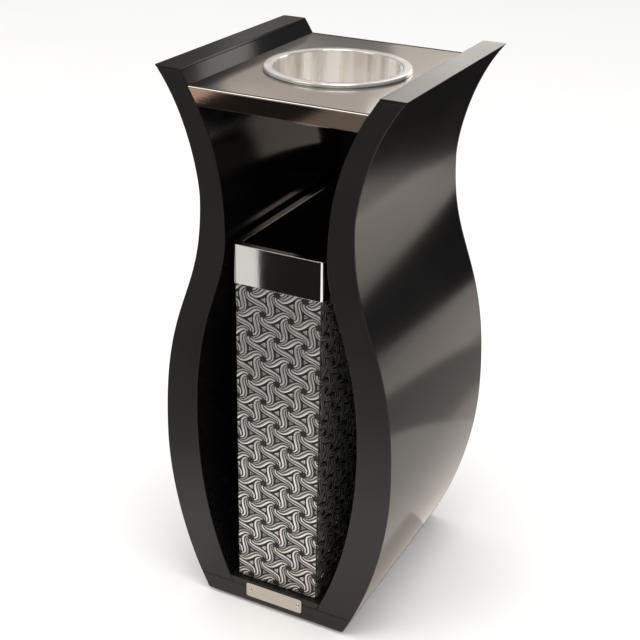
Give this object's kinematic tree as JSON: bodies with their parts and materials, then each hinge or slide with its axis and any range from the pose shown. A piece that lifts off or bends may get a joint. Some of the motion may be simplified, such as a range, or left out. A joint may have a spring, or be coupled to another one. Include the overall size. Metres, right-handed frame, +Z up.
{
  "type": "ashtray bin",
  "caption": "Vase-shaped free-standing litter bin with S-curved side panels, a steel top plate with a lift-out ash bowl and a pull-out inner bin.",
  "frame": {"origin": "centre of the base, on the floor that the rubber feet stand on", "axes": "+Z up; +X to the right and +Y to the back as seen from the side that the inner bin pulls out of"},
  "size_m": [0.306, 0.3021, 0.694],
  "materials": {
    "satin_black_board": "satin black paint",
    "gloss_black_sheet": "gloss black",
    "brushed_plate": "fine brushed",
    "polished_steel": "mirror polished",
    "embossed_sheet": "embossed with interlaced three-armed ribs, dark grooves",
    "badge": "brushed, blank",
    "rubber_pad": "matt"
  },
  "bodies": {
    "cabinet": {"base_board": "satin_black_board", "floor_board": "satin_black_board", "left_front_face": "satin_black_board", "left_front_rib": "satin_black_board", "left_middle_rib": "satin_black_board", "left_back_rib": "satin_black_board", "left_outer_skin": "gloss_black_sheet", "left_inner_skin": "gloss_black_sheet", "left_top_cap": "satin_black_board", "left_plate_bracket": "brushed_plate", "right_front_face": "satin_black_board", "right_front_rib": "satin_black_board", "right_middle_rib": "satin_black_board", "right_back_rib": "satin_black_board", "right_outer_skin": "gloss_black_sheet", "right_inner_skin": "gloss_black_sheet", "right_top_cap": "satin_black_board", "right_plate_bracket": "brushed_plate", "back_panel": "satin_black_board", "foot_front_left": "rubber_pad", "foot_front_right": "rubber_pad", "foot_back_left": "rubber_pad", "foot_back_right": "rubber_pad", "top_plate": "brushed_plate", "badge_plate": "badge", "badge_rivet_left": "polished_steel", "badge_rivet_right": "polished_steel"},
    "bin": {"bin_wall": "embossed_sheet", "bin_floor": "brushed_plate"},
    "collar": {"bin_collar": "polished_steel"},
    "bowl": {"bowl_rim": "polished_steel", "ash_bowl": "brushed_plate"}
  },
  "joints": [
    {"name": "bin_slide", "type": "slide", "parent": "cabinet", "child": "bin", "axis": [0, -1, 0], "range_m": [0, 0.28]},
    {"name": "collar_lift", "type": "slide", "parent": "bin", "child": "collar", "axis": [0, 0, 1], "range_m": [0, 0.055]},
    {"name": "bowl_lift", "type": "slide", "parent": "cabinet", "child": "bowl", "axis": [0, 0, 1], "range_m": [0, 0.08]}
  ]
}
